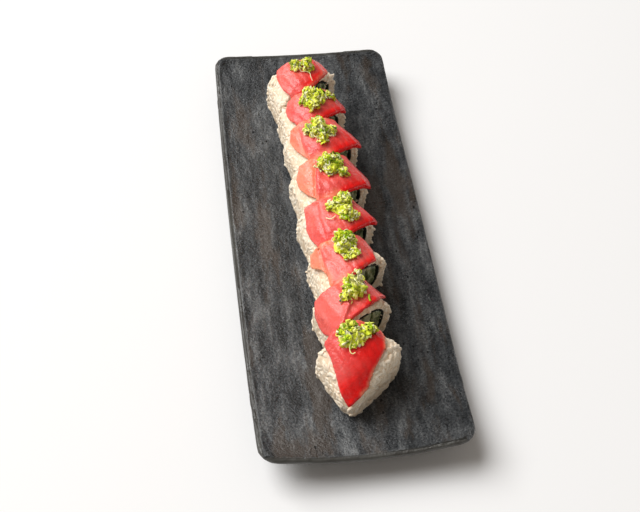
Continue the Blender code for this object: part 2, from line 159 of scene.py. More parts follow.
# Steps where the fish folds over itself: points seen from above, width, and how much lower the left
# side lies, all in millimetres; below zero it lies higher
TUNA_FOLDS = {
    3: (((-12.5, 52), (-12.3, 45), (-10.5, 36), (-9.0, 30)), 1.6, 1.5),
    4: (((-6.5, 24), (-8.0, 15), (-8.6, 9), (-9.5, -1)), 1.3, 2.2),
    5: (((-9.0, -6), (-9.5, -14), (-7.5, -26)), 1.3, 0.7),
    6: (((-13.0, -33), (-12.2, -40), (-11.2, -48), (-10.5, -57)), 1.3, 2.1),
    7: (((0.5, -74), (-2.6, -80), (-6.5, -88)), 2.2, -1.5),
}

# A fold's section: the low side's reach in millimetres and its two shares, at the line and beyond it,
# the groove's share on the high side, and the ridge there with its place and width in millimetres
FOLD_REACH = 6.0
FOLD_SHARE = 0.5
GROOVE_SHARE = 0.3
FOLD_LEAST_Z = 0.2
RIDGE_PLACE = 1.5
RIDGE_WIDTH = 2.0
RIDGE_SHARE = 0.35

# Scallion
HEAP_VOXEL = 0.7 * MM
HEAP_CORE = 0.66
HEAP_LUMP = 0.6 * MM
HEAP_LUMP_SCALE = 600
HEAP_CORE_TONE = 0.40
HEAP_CORE_TONE_SPREAD = 0.3
HEAPS_WITHOUT_CORE = (1,)
# Bits of a full heap; one whose tufts' squared radii add up to less room gets fewer
BITS_PER_HEAP = 210
FULL_HEAP_ROOM = 55
BIT_SEED = 70
# A bit's least height over the fish in millimetres, and its share of the tuft's height
BIT_LIFT = 0.4
BIT_HEIGHTS = (0.35, 1.0)
BIT_TILT = 0.7
BIT_ROLL = 1.0
BIT_SIZES = (0.7, 1.1)
BIT_TONE_SPREAD = 0.27
DROP_START = 0.1
# Strips: length, width and thickness in millimetres, spans along, bend and twist in degrees
STRIPS = (
    (5.0, 1.1, 0.45, 6, 170, 40),
    (4.2, 0.9, 0.45, 6, 130, 60),
    (3.2, 1.3, 0.50, 5, 100, 20),
    (6.5, 0.7, 0.40, 8, 230, 80),
)
# Rings: radius, height and wall in millimetres, and share of the way round
RINGS = ((1.3, 0.8, 0.35, 1.0), (1.7, 0.9, 0.35, 0.55))
RING_STRETCH = 1.25
# How often each strip, and then each ring, comes up
SHAPE_SHARES = (3, 3, 3, 2, 1, 1)
# Tufts of each heap: place seen from above, radius and height in millimetres, and mean tone
HEAP_TUFTS = {
    1: ((-8.3, 104.0, 2.8, 4.5, 0.30), (-1.3, 102.9, 3.3, 8.5, 0.28)),
    2: ((-2.8, 78.5, 5.0, 7.5, 0.22), (-1.9, 70.8, 3.6, 5.5, 0.35), (-5.8, 74.0, 3.4, 5.5, 0.40),
        (1.9, 75.8, 4.2, 6.5, 0.30), (8.8, 79.2, 2.2, 3.0, 0.30), (12.2, 79.6, 1.4, 2.0, 0.30)),
    3: ((-0.7, 48.7, 5.5, 7.5, 0.30), (-7.0, 51.2, 2.6, 4.0, 0.28), (6.1, 48.3, 3.2, 5.0, 0.32),
        (0.4, 42.7, 2.6, 4.0, 0.30), (-0.8, 55.1, 3.6, 6.0, 0.45)),
    4: ((0.0, 23.0, 4.6, 7.5, 0.28), (4.8, 23.0, 4.4, 7.5, 0.38), (1.0, 17.3, 3.6, 5.0, 0.25),
        (8.6, 15.7, 2.6, 3.5, 0.30), (-3.8, 20.9, 3.0, 4.5, 0.30)),
    5: ((6.0, -5.5, 4.4, 7.0, 0.36), (1.7, -10.0, 4.0, 6.0, 0.38), (-2.3, -10.2, 2.6, 3.5, 0.30),
        (5.8, -16.8, 4.0, 6.5, 0.26), (10.5, -17.2, 2.2, 3.5, 0.28)),
    6: ((-0.2, -34.0, 4.2, 7.0, 0.42), (3.4, -35.6, 4.2, 8.0, 0.40), (-0.1, -40.1, 4.0, 6.0, 0.26),
        (6.1, -44.2, 2.2, 3.5, 0.28), (1.4, -45.9, 1.8, 2.0, 0.15)),
    7: ((4.2, -61.5, 3.0, 8.0, 0.05), (0.5, -65.1, 4.2, 7.5, 0.26), (2.5, -69.4, 4.2, 6.5, 0.34),
        (-2.9, -73.1, 3.0, 4.0, 0.30), (5.8, -70.0, 3.0, 4.5, 0.32)),
    8: ((-7.4, -94.9, 3.6, 6.0, 0.42), (-3.9, -95.0, 4.2, 8.0, 0.36), (-6.6, -99.8, 3.6, 5.5, 0.36),
        (-1.8, -99.4, 3.6, 6.0, 0.20), (3.5, -96.3, 3.0, 4.5, 0.18), (7.2, -94.1, 2.2, 3.0, 0.40),
        (-3.3, -103.6, 1.6, 2.5, 0.28)),
}
# Loose strands: heap, tone, thickness, and points seen from above with their height over what is below
STRANDS = (
    (1, 0.0, 0.45, ((-6.9, 101.0, 3.5), (-5.6, 99.2, 1.3), (-3.0, 98.9, 1.1), (-0.6, 97.6, 1.1),
                    (-0.2, 94.6, 1.1), (0.6, 91.9, 1.1))),
    (5, 0.1, 0.6, ((12.0, -1.5, 1.0), (13.2, 0.5, 4.0), (14.4, 1.0, 7.0), (13.4, 3.0, 9.0))),
    (5, 0.0, 0.6, ((-6.2, -17.3, 1.1), (-3.5, -18.9, 1.3), (-0.8, -17.4, 1.5))),
    (6, 0.1, 0.6, ((-2.2, -43.2, 1.3), (0.5, -46.6, 1.2), (4.0, -45.0, 2.0), (6.8, -40.5, 3.0))),
    (7, 0.80, 1.0, ((9.4, -72.8, 1.3), (8.9, -75.0, 1.3), (9.2, -77.2, 1.3))),
    (8, 0.1, 0.55, ((-5.0, -101.6, 3.2), (-6.3, -104.6, 1.6), (-5.4, -107.4, 1.2), (-3.6, -107.0, 1.2))),
)


def select_only(piece):
    bpy.ops.object.select_all(action="DESELECT")
    piece.select_set(True)
    bpy.context.view_layer.objects.active = piece


def apply_modifier(piece, kind, **settings):
    """Adds a modifier, sets it and applies it."""
    select_only(piece)
    modifier = piece.modifiers.new(kind.lower(), kind)
    for key, value in settings.items():
        setattr(modifier, key, value)
    bpy.ops.object.modifier_apply(modifier=modifier.name)


def node_copy(node, name):
    """A merged copy of a node's mesh, to be reshaped."""
    piece = bpy.data.objects.new(name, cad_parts[node].data.copy())
    bpy.context.scene.collection.objects.link(piece)
    piece.data.materials.clear()
    select_only(piece)
    bpy.ops.object.mode_set(mode="EDIT")
    bpy.ops.mesh.select_all(action="SELECT")
    bpy.ops.mesh.remove_doubles(threshold=0.01 * MM)
    bpy.ops.object.mode_set(mode="OBJECT")
    return piece


def finish_piece(piece, material, stands_for):
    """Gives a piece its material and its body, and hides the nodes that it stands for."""
    piece.data.materials.clear()
    piece.data.materials.append(material)
    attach(piece, "root")
    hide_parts(*stands_for)


def smooth(piece, degrees=180):
    select_only(piece)
    bpy.ops.object.shade_smooth_by_angle(angle=math.radians(degrees))


def points_of(mesh):
    points = np.empty(len(mesh.vertices) * 3)
    mesh.vertices.foreach_get("co", points)
    return points.reshape(-1, 3)


def normals_of(mesh):
    normals = np.empty(len(mesh.vertices) * 3)
    mesh.vertices.foreach_get("normal", normals)
    return normals.reshape(-1, 3)


def move_points(piece, points):
    piece.data.vertices.foreach_set("co", points.ravel())
    piece.data.update()


def add_attribute(mesh, name, values):
    layer = mesh.attributes.new(name, "FLOAT", "POINT")
    layer.data.foreach_set("value", np.asarray(values, dtype=np.float32))


def unevenness(points, scale=1.0, shift=(0, 0, 0)):
    """Smooth noise at each point, from about -1 to 1."""
    return np.array([noise.noise(Vector(point) * scale + Vector(shift)) for point in points])


class Flow:
    """A socket in a material's node tree, with arithmetic."""

    def __init__(self, tree, socket):
        self.tree = tree
        self.socket = socket

    def maths(self, operation, other=None, swap=False):
        values = [self] if other is None else ([other, self] if swap else [self, other])
        return self.node("ShaderNodeMath", {"operation": operation}, dict(enumerate(values)))

    def node(self, kind, settings=None, values=None, output=0):
        made = self.tree.nodes.new(kind)
        for key, value in (settings or {}).items():
            if key == "stops":
                set_stops(made.color_ramp, value)
            else:
                setattr(made, key, value)
        for key, value in (values or {}).items():
            if isinstance(value, Flow):
                self.tree.links.new(value.socket, made.inputs[key])
            else:
                made.inputs[key].default_value = value
        return Flow(self.tree, made.outputs[output])

    def __add__(self, other):
        return self.maths("ADD", other)

    __radd__ = __add__

    def __sub__(self, other):
        return self.maths("SUBTRACT", other)

    def __rsub__(self, other):
        return self.maths("SUBTRACT", other, swap=True)

    def __mul__(self, other):
        return self.maths("MULTIPLY", other)

    __rmul__ = __mul__

    def noise(self, scale, detail=3.0, roughness=0.5):
        return self.node("ShaderNodeTexNoise", {}, {"Vector": self, "Scale": scale, "Detail": detail,
                                                    "Roughness": roughness})

    def cells(self, scale):
        return self.node("ShaderNodeTexVoronoi", {}, {"Vector": self, "Scale": scale})

    def stretched(self, scale):
        return self.node("ShaderNodeMapping", {}, {"Vector": self, "Scale": scale})

    def part(self, axis):
        return self.node("ShaderNodeSeparateXYZ", {}, {"Vector": self}, output=axis)

    def ramp(self, stops):
        return self.node("ShaderNodeValToRGB", {"stops": stops}, {"Fac": self})

    def step(self, low, high):
        """0 below the low value, 1 above the high one, and a soft step between them."""
        return self.node("ShaderNodeMapRange", {"interpolation_type": "SMOOTHSTEP"},
                         {"Value": self, "From Min": low, "From Max": high})

    def mix(self, first, second):
        """The first colour where this is 0, the second where it is 1."""
        return self.node("ShaderNodeMix", {"data_type": "RGBA"}, {0: self, 6: first, 7: second}, output=2)


def set_stops(ramp, stops):
    """Gives a colour ramp these stops: place on the ramp and colour."""
    while len(ramp.elements) > 1:
        ramp.elements.remove(ramp.elements[-1])
    for index, (position, colour) in enumerate(stops):
        stop = ramp.elements[0] if index == 0 else ramp.elements.new(position)
        stop.position = position
        stop.color = (*colour, 1.0)


class Finish:
    """A material being made: its shader, and the flows that feed it."""

    def __init__(self, name, **sockets):
        self.material = bpy.data.materials.new(name)
        self.material.use_nodes = True
        self.tree = self.material.node_tree
        self.shader = self.tree.nodes["Principled BSDF"]
        for key, value in sockets.items():
            self.shader.inputs[key.replace("_", " ")].default_value = value
        self.start = Flow(self.tree, None)
        self.place = self.start.node("ShaderNodeTexCoord", output=3)

    def attribute(self, name):
        return self.start.node("ShaderNodeAttribute", {"attribute_name": name}, output=2)

    def feed(self, key, flow):
        self.tree.links.new(flow.socket, self.shader.inputs[key])

    def bump(self, height, distance, strength):
        return self.start.node("ShaderNodeBump", {}, {"Height": height, "Distance": distance,
                                                      "Strength": strength})


def stoneware_finish():
    """Dark glaze with streaks along the plate, rusty patches and pits, rougher to the right."""
    glaze = ((0.40, (0.006, 0.007, 0.008)), (0.47, (0.040, 0.044, 0.048)),
             (0.53, (0.092, 0.097, 0.101)), (0.61, (0.220, 0.226, 0.226)))
    lip_glaze = ((0.35, (0.035, 0.032, 0.027)), (0.65, (0.075, 0.074, 0.066)))
    rust_brown = (0.072, 0.050, 0.034, 1.0)
    speck_grey = (0.30, 0.31, 0.31, 1.0)
    pit_black = (0.004, 0.004, 0.004, 1.0)
    streak_stretch = (1.0, 0.22, 1.0)
    pit_stretch = (1.0, 0.6, 1.0)
    smooth_until, rough_from = -0.005, 0.040
    finish = Finish("stoneware", IOR=1.5)
    lip = finish.attribute("lip")
    field = 1 - lip
    along = finish.place.stretched(streak_stretch)
    mottle = finish.place.noise(34.0, 5.0, 0.6)
    streak = along.noise(150.0, 5.0, 0.62)
    grain = finish.place.noise(900.0, 3.0, 0.7)
    tone = mottle * 0.20 + streak * 0.44 + grain * 0.36
    rust = along.noise(70.0, 4.0, 0.6).step(0.50, 0.62) * 0.6
    stone = rust.mix(tone.ramp(glaze), rust_brown)
    specks = finish.place.noise(1100.0, 2.0, 0.6).step(0.62, 0.74)
    stone = (specks * 0.6).mix(stone, speck_grey)
    pitted = finish.place.noise(30.0, 3.0, 0.6).step(0.56, 0.64)
    pits = (1 - finish.place.stretched(pit_stretch).cells(230.0).step(0.06, 0.16)) * pitted
    stone = pits.mix(stone, pit_black)
    edge = along.noise(90.0, 3.0, 0.6).ramp(lip_glaze)
    finish.feed("Base Color", lip.mix(stone, edge))
    gloss = finish.place.noise(75.0, 4.0, 0.6).step(0.35, 0.65)
    finish.feed("Roughness", gloss * 0.22 + 0.24)
    coarse = finish.place.noise(420.0, 4.0, 0.6)
    rough_side = finish.place.part(0).step(smooth_until, rough_from) * 2.4 + 1.2
    height = (coarse * 0.9 + streak * 0.8 + grain * 0.5) * rough_side - pits * 1.2
    finish.feed("Normal", finish.bump(height * (field * 0.85 + 0.15), 0.0014, 0.9))
    return finish.material


def rice_finish():
    """Cooked rice: creamy white, moist, with a few dark specks; the attribute tells the grains apart, and
    the browner end of the ramp, on the core between them, is painted shade.
    """
    cream_and_crevice_shade = ((0.25, (0.84, 0.65, 0.45)), (0.44, (0.97, 0.82, 0.63)), (0.72, (0.99, 0.90, 0.75)))
    speck_brown = (0.03, 0.02, 0.012, 1.0)
    finish = Finish("cooked_rice", Roughness=0.6, IOR=1.3)
    tone = finish.place.noise(110.0, 3.0, 0.55) * 0.65 + finish.attribute("tone") * 0.35
    specks = 1 - finish.place.cells(150.0).step(0.035, 0.050)
    rare = finish.place.noise(45.0, 2.0).step(0.50, 0.58)
    finish.feed("Base Color", (specks * rare).mix(tone.ramp(cream_and_crevice_shade), speck_brown))
    finish.feed("Normal", finish.bump(finish.place.noise(700.0, 2.0, 0.5), 0.0002, 0.4))
    return finish.material


def nori_finish():
    """Pressed seaweed: near black with a green cast."""
    seaweed = ((0.3, (0.004, 0.006, 0.004)), (0.7, (0.020, 0.030, 0.016)))
    finish = Finish("nori_sheet", Roughness=0.45, IOR=1.45)
    tone = finish.place.noise(420.0, 4.0, 0.6)
    finish.feed("Base Color", tone.ramp(seaweed))
    finish.feed("Normal", finish.bump(finish.place.noise(1100.0, 4.0, 0.7), 0.0003, 0.7))
    return finish.material


def crab_finish():
    """Shredded pale crab in streaks, light brown where its bump lies low."""
    crab = ((0.35, (0.50, 0.38, 0.27)), (0.5, (0.72, 0.64, 0.54)), (0.72, (0.85, 0.80, 0.72)))
    finish = Finish("crab_shreds", Roughness=0.4, IOR=1.4, Subsurface_Weight=0.2,
                    Subsurface_Radius=(1.0, 0.6, 0.4), Subsurface_Scale=0.002)
    tone = finish.place.stretched((1.0, 1.0, 0.25)).noise(520.0, 4.0, 0.6)
    finish.feed("Base Color", tone.ramp(crab))
    finish.feed("Normal", finish.bump(tone, 0.0006, 0.8))
    return finish.material


def avocado_finish():
    """Ripe avocado: dull green to pale yellow green."""
    avocado = ((0.35, (0.34, 0.36, 0.20)), (0.65, (0.66, 0.64, 0.45)))
    finish = Finish("avocado_flesh", Roughness=0.45, IOR=1.4, Subsurface_Weight=0.15,
                    Subsurface_Radius=(0.8, 1.0, 0.4), Subsurface_Scale=0.002)
    tone = finish.place.noise(160.0, 3.0, 0.5)
    finish.feed("Base Color", tone.ramp(avocado))
    finish.feed("Normal", finish.bump(finish.place.noise(800.0, 3.0, 0.6), 0.0003, 0.5))
    return finish.material


def cucumber_finish():
    """Cucumber with its skin: dark green with pale streaks, wet."""
    cucumber = ((0.36, (0.050, 0.065, 0.024)), (0.50, (0.17, 0.20, 0.085)), (0.62, (0.48, 0.50, 0.30)))
    finish = Finish("cucumber_stick", Roughness=0.3, IOR=1.38, Coat_Weight=0.3, Coat_Roughness=0.2)
    tone = finish.place.stretched((1.0, 1.0, 0.3)).noise(330.0, 4.0, 0.6)
    finish.feed("Base Color", tone.ramp(cucumber))
    finish.feed("Normal", finish.bump(finish.place.noise(900.0, 3.0, 0.6), 0.0003, 0.5))
    return finish.material


def tuna_finish():
    """Raw tuna: wet, pink red to dark red with painted shade to the right and front, orange where it
    thins out, faint pale sinews with painted sheen, fine flecks of painted sheen.
    """
    reds = ((0.0, (0.90, 0.140, 0.110)), (0.45, (0.82, 0.088, 0.078)),
            (0.80, (0.88, 0.024, 0.020)), (1.0, (0.86, 0.004, 0.003)))
    thin_orange = (0.96, 0.33, 0.18, 1.0)
    sinew_and_sheen_pink = (0.93, 0.40, 0.36, 1.0)
    painted_sheen_pink = (0.94, 0.46, 0.44, 1.0)
    finish = Finish("raw_tuna", IOR=1.42, Subsurface_Weight=0.3, Coat_Weight=0.15,
                    Subsurface_Radius=(1.0, 0.22, 0.14), Subsurface_Scale=0.0025,
                    Coat_Roughness=0.15)
    cloud = finish.place.noise(48.0, 4.0, 0.55)
    # The red attribute carries painted shade towards the slice's right and front.
    red_and_shade = (finish.attribute("red_and_shade") + (cloud - 0.5) * 1.1).step(0.0, 1.0)
    thin = finish.attribute("thin") + (finish.place.noise(120.0, 3.0) - 0.5) * 0.5
    colour = thin.step(0.25, 1.05).mix(red_and_shade.ramp(reds), thin_orange)
    # Pale pink bands along the fibres: partly the fish's sinews, partly painted sheen.
    waves = (finish.attribute("sinew") * 1.5 + cloud * 9.0).maths("SINE")
    patch = finish.place.noise(60.0, 2.0).step(0.48, 0.66) * (1.1 - red_and_shade)
    colour = (waves.step(0.2, 1.0) * patch * 0.26).mix(colour, sinew_and_sheen_pink)
    # Fine pale pink flecks where the fish is less red: painted sheen.
    painted_sheen = finish.place.noise(700.0, 3.0, 0.7).step(0.48, 0.68) * cloud.step(0.42, 0.62)
    colour = (painted_sheen * (1.1 - red_and_shade) * 0.26).mix(colour, painted_sheen_pink)
    finish.feed("Base Color", colour)
    finish.feed("Roughness", finish.place.noise(150.0, 3.0).step(0.3, 0.7) * 0.2 + 0.20)
    fine = finish.place.noise(520.0, 3.0, 0.6)
    lumps = finish.place.noise(190.0, 4.0, 0.6)
    finish.feed("Normal", finish.bump(waves * 0.12 + fine * 0.3 + lumps, 0.0011, 0.9))
    return finish.material


def scallion_finish():
    """Chopped scallion from white stem to green leaf, one tone to a bit."""
    stem_to_leaf = ((0.03, (0.99, 0.97, 0.60)), (0.20, (0.98, 0.97, 0.24)), (0.46, (0.88, 0.95, 0.05)),
                    (0.72, (0.48, 0.72, 0.015)), (1.0, (0.14, 0.33, 0.008)))
    finish = Finish("chopped_scallion", Roughness=0.45, IOR=1.35)
    tone = finish.attribute("tone") + (finish.place.noise(600.0, 3.0) - 0.5) * 0.22
    finish.feed("Base Color", tone.ramp(stem_to_leaf))
    finish.feed("Normal", finish.bump(finish.place.noise(1500.0, 3.0, 0.6), 0.0002, 0.5))
    return finish.material


def template(piece):
    """A small shape's points and faces, to be copied many times; the shape itself goes."""
    points = points_of(piece.data)
    faces = [tuple(face.vertices) for face in piece.data.polygons]
    bpy.data.objects.remove(piece, do_unlink=True)
    return points, faces


def joined_copies(name, shapes, places, tones):
    """One mesh of many copies: places are (shape index, 4 by 4 matrix), with one tone to a copy."""
    points = []
    faces = []
    levels = []
    start = 0
    for (shape, matrix), tone in zip(places, tones):
        base, polygons = shapes[shape]
        matrix = np.array(matrix)
        points.append(base @ matrix[:3, :3].T + matrix[:3, 3])
        faces += [tuple(start + i for i in polygon) for polygon in polygons]
        levels.append(np.full(len(base), tone))
        start += len(base)
    mesh = bpy.data.meshes.new(name)
    mesh.from_pydata(np.concatenate(points).tolist(), [], faces)
    add_attribute(mesh, "tone", np.concatenate(levels))
    piece = bpy.data.objects.new(name, mesh)
    bpy.context.scene.collection.objects.link(piece)
    smooth(piece)
    return piece


def grain_shape():
    """One grain before it is drawn out: a small sphere, narrower at one end and slightly bowed."""
    bpy.ops.object.select_all(action="DESELECT")
    bpy.ops.mesh.primitive_uv_sphere_add(segments=7, ring_count=6, radius=0.5)
    grain = bpy.context.object
    bpy.ops.object.mode_set(mode="EDIT")
    bpy.ops.mesh.select_all(action="SELECT")
    bpy.ops.transform.rotate(value=math.pi / 2, orient_axis="Y", center_override=(0, 0, 0))
    bpy.ops.object.mode_set(mode="OBJECT")
    points = points_of(grain.data)
    narrowing = 1.0 - GRAIN_NARROWING * (points[:, 0] + 0.5)
    points[:, 1] *= narrowing
    points[:, 2] *= narrowing
    points[:, 2] += GRAIN_BOW * points[:, 0] ** 2
    move_points(grain, points)
    return template(grain)


def spread(mesh, spacing, seed):
    """Points and normals spread evenly over a mesh: random ones, thinned to a spacing."""
    mesh.calc_loop_triangles()
    count = len(mesh.loop_triangles)
    corners = np.empty(count * 3, dtype=np.int64)
    mesh.loop_triangles.foreach_get("vertices", corners)
    corners = points_of(mesh)[corners.reshape(-1, 3)]
    cross = np.cross(corners[:, 1] - corners[:, 0], corners[:, 2] - corners[:, 0])
    double_area = np.linalg.norm(cross, axis=1)
    draw = np.random.default_rng(seed)
    total = int(double_area.sum() / 2 / MM ** 2 * CANDIDATES_PER_MM2)
    picks = draw.choice(count, size=total, p=double_area / double_area.sum())
    u, v = draw.random(total), draw.random(total)
    flip = u + v > 1
    u[flip], v[flip] = 1 - u[flip], 1 - v[flip]
    a, b, c = corners[picks, 0], corners[picks, 1], corners[picks, 2]
    spots = a + (b - a) * u[:, None] + (c - a) * v[:, None]
    normals = cross[picks] / double_area[picks, None]
    kept, cells = [], {}
    for index, spot in enumerate(spots):
        key = tuple(np.floor(spot / spacing).astype(int))
        near = (cells.get((key[0] + i, key[1] + j, key[2] + k), ())
                for i in (-1, 0, 1) for j in (-1, 0, 1) for k in (-1, 0, 1))
        neighbours = [other for cell in near for other in cell]
        if all(np.sum((spot - spots[other]) ** 2) >= spacing ** 2 for other in neighbours):
            kept.append(index)
            cells.setdefault(key, []).append(index)
    return [(Vector(spots[i]), Vector(normals[i])) for i in kept]


def tree_of(nodes):
    """A search tree over the CAD solids of these nodes."""
    points, faces = [], []
    for node in nodes:
        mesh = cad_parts[node].data
        start = len(points)
        points += [vertex.co for vertex in mesh.vertices]
        faces += [tuple(start + i for i in face.vertices) for face in mesh.polygons]
    return BVHTree.FromPolygons(points, faces)


def turned(normal, heading, tilt, roll):
    """A rotation with its third axis near the normal and its first at a heading round it."""
    side = normal.orthogonal().normalized()
    upright = Matrix((side, normal.cross(side), normal)).transposed()
    return (upright @ Matrix.Rotation(heading, 3, "Z") @ Matrix.Rotation(tilt, 3, "Y")
            @ Matrix.Rotation(roll, 3, "X"))


def grain_place(draw, number, spot, normal):
    """A grain's own length and girth, turned at random along the surface and sunk into it."""
    on_cut = number != END_SLICE and abs(normal.z) < CUT_MOST_Z and abs(normal.y) > CUT_LEAST_Y
    on_rough_front = number == END_SLICE and normal.y < ROUGH_MOST_Y and normal.x > ROUGH_LEAST_X
    most_tilt = CUT_TILT if on_cut else FLANK_TILT
    tilt = draw.uniform(-most_tilt, most_tilt)
    heading = draw.uniform(0, 2 * math.pi)
    turn = turned(normal, heading, tilt, draw.uniform(-GRAIN_ROLL, GRAIN_ROLL))
    scale = Matrix.Diagonal((GRAIN_LENGTH * draw.uniform(*GRAIN_LENGTHS),
                             GRAIN_WIDTH * draw.uniform(*GRAIN_GIRTHS),
                             GRAIN_HEIGHT * draw.uniform(*GRAIN_GIRTHS)))
    height = draw.uniform(*(CUT_HEIGHTS if on_cut else FLANK_HEIGHTS))
    if on_rough_front:
        height = draw.uniform(*ROUGH_HEIGHTS)
    matrix = (turn @ scale).to_4x4()
    matrix.translation = spot + normal * height * MM
    return matrix


def make_rice(number, grain, finish):
    """A lumpy core, and grains lying on it wherever nothing covers it."""
    node = f"rice_{number}"
    core = node_copy(node, f"rice_core_{number}")
    apply_modifier(core, "REMESH", mode="VOXEL", voxel_size=CORE_VOXEL)
    points, normals = points_of(core.data), normals_of(core.data)
    lumps = unevenness(points, CORE_LUMP_SCALE)
    points -= normals * (CORE_SHRINK - lumps * CORE_LUMP)[:, None]
    move_points(core, points)
    # The core's tone of 0 gives it the browner end of the rice colours: painted shade in the gaps between
    # the grains.
    add_attribute(core.data, "tone", np.zeros(len(points)))
    smooth(core)
    others = tree_of([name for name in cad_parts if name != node])
    draw = random.Random(GRAIN_SEED + number)
    places, tones = [], []
    for spot, normal in spread(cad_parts[node].data, GRAIN_SPACING, SPREAD_SEED + number):
        cover = others.ray_cast(spot + normal * COVER_START, normal, COVER_REACH)
        if cover[0] is not None:
            continue
        places.append((0, grain_place(draw, number, spot, normal)))
        tones.append(draw.uniform(*GRAIN_TONES))
    grains = joined_copies(f"rice_grains_{number}", [grain], places, tones)
    finish_piece(core, finish, [node])
    finish_piece(grains, finish, [node])


def make_nori(number, finish):
    """The sheet of its node with finer faces, rippled in and out, nearly as thick as before."""
    piece = node_copy(f"nori_{number}", f"nori_sheet_{number}")
    bpy.ops.object.mode_set(mode="EDIT")
    bpy.ops.mesh.select_all(action="SELECT")
    bpy.ops.mesh.tris_convert_to_quads(face_threshold=math.radians(30), shape_threshold=math.pi)
    bpy.ops.mesh.subdivide(number_cuts=3)
    bpy.ops.object.mode_set(mode="OBJECT")
    points = points_of(piece.data)
    outward = points - points.mean(axis=0)
    outward[:, 1] = 0
    outward /= np.linalg.norm(outward, axis=1)[:, None]
    ripple = unevenness(points, NORI_RIPPLE_SCALE)
    move_points(piece, points + outward * (ripple * NORI_RIPPLE)[:, None])
    smooth(piece, NORI_EDGE_DEGREES)
    finish_piece(piece, finish, [f"nori_{number}"])


def make_filling(kind, number, finish):
    """A stick with soft edges and an uneven surface."""
    piece = node_copy(f"{kind}_{number}", f"{kind}_stick_{number}")
    apply_modifier(piece, "REMESH", mode="VOXEL", voxel_size=FILLING_VOXEL)
    apply_modifier(piece, "SMOOTH", iterations=3, factor=0.5)
    points, normals = points_of(piece.data), normals_of(piece.data)
    lumps = unevenness(points, FILLING_LUMP_SCALE, (number, 0, 0))
    points += normals * (lumps * FILLING_LUMP)[:, None]
    move_points(piece, points)
    smooth(piece)
    finish_piece(piece, finish, [f"{kind}_{number}"])


def relaxed(mesh, values, rounds):
    """Values on a mesh's points, evened out with their neighbours round by round."""
    ends = np.empty(len(mesh.edges) * 2, dtype=np.int64)
    mesh.edges.foreach_get("vertices", ends)
    start, end = ends[::2], ends[1::2]
    count = len(values)
    shares = np.bincount(ends, minlength=count)[:, None]
    for _ in range(rounds):
        sums = [np.bincount(start, column[end], count) + np.bincount(end, column[start], count)
                for column in values.T]
        values = (values + np.stack(sums, axis=1) / shares) / 2
    return values


def tree_of_points(spots):
    """A tree that finds the nearest of these points."""
    tree = KDTree(len(spots))
    for index, spot in enumerate(spots):
        tree.insert(spot, index)
    tree.balance()
    return tree


def distances(tree, points):
    return np.array([tree.find(Vector(point))[2] for point in points])


def round_off(piece, rim):
    """Evens out the bends in a strip's two faces; its rim stays where it is."""
    points = points_of(piece.data)
    away = distances(rim, points)
    share = np.clip((away - TUNA_STILL_RIM) / (TUNA_RIM - TUNA_STILL_RIM), 0, 1)[:, None]
    normals = relaxed(piece.data, normals_of(piece.data), NORMAL_ROUNDS)
    normals /= np.linalg.norm(normals, axis=1)[:, None] + TINY
    shift = ((relaxed(piece.data, points, TUNA_ROUNDS) - points) * normals).sum(axis=1)[:, None]
    move_points(piece, points + normals * shift * share)
    apply_modifier(piece, "SMOOTH", iterations=5, factor=0.5)


def make_tuna(number, finish):
    """A strip with rounded bends, a slight swell and waves, and on some slices a fold."""
    node = f"tuna_{number}"
    piece = node_copy(node, f"tuna_slice_{number}")
    rim = rim_points(piece.data)
    apply_modifier(piece, "REMESH", mode="VOXEL", voxel_size=TUNA_VOXEL)
    round_off(piece, tree_of_points(rim))
    points, normals = points_of(piece.data), normals_of(piece.data)
    waves = unevenness(points, TUNA_WAVE_SCALE, (0, 0, 3 * number))
    points += normals * (TUNA_SWELL + waves * TUNA_WAVE)[:, None]
    under = np.zeros(len(points))
    if number in TUNA_FOLDS:
        heights, under = fold_heights(points, normals, *TUNA_FOLDS[number])
        points += normals * heights[:, None]
    move_points(piece, points)
    apply_modifier(piece, "SMOOTH", iterations=2, factor=0.5)
    smooth(piece)
    colour_tuna(piece.data, number, rim, under)
    finish_piece(piece, finish, [node])


def colour_tuna(mesh, number, rim, under):
    """Writes how thin and how red the strip is at each point, with painted shade towards its right and
    front, and where its sinews run.
    """
    points = points_of(mesh)
    low, high = points.min(axis=0), points.max(axis=0)
    middle = (low + high) / 2
    to_right = (points[:, 0] - low[0]) / (high[0] - low[0])
    to_front = (high[1] - points[:, 1]) / (high[1] - low[1])
    left_rim = tree_of_points([spot for spot in rim if spot.x < middle[0]])
    right_rim = tree_of_points([spot for spot in rim if spot.x > middle[0]])
    front_rim = tree_of_points([spot for spot in rim if spot.y < middle[1]])
    near_left = 1 - distances(left_rim, points) / LEFT_EDGE
    near_right = 1 - distances(right_rim, points) / RIGHT_EDGE
    near_front = np.maximum(0.0, 1 - distances(front_rim, points) / FRONT_EDGE)
    thin = np.maximum(np.maximum(under * PALE_UNDER_FOLD, near_left) * TUNA_PALE_EDGE[number],
                      near_right * TUNA_PALE_RIGHT[number])
    # Red rising towards the right, the front and the front edge's right: partly the fish's own darker
    # red, partly painted shade on the sides turned away from the window.
    red_and_shade = TUNA_RED[number] + RED_START + RED_AND_SHADE_RIGHT * to_right + RED_AND_SHADE_FRONT * to_front
    right_share = np.clip((points[:, 0] - middle[0]) / RED_AND_SHADE_FRONT_EDGE_FADE + 0.5, 0, 1)
    red_and_shade += RED_AND_SHADE_FRONT_EDGE * near_front * right_share
    add_attribute(mesh, "thin", thin)
    add_attribute(mesh, "red_and_shade", red_and_shade)
    add_attribute(mesh, "sinew", (points[:, 0] * SINEW_ACROSS + points[:, 1] * SINEW_ALONG) / MM)


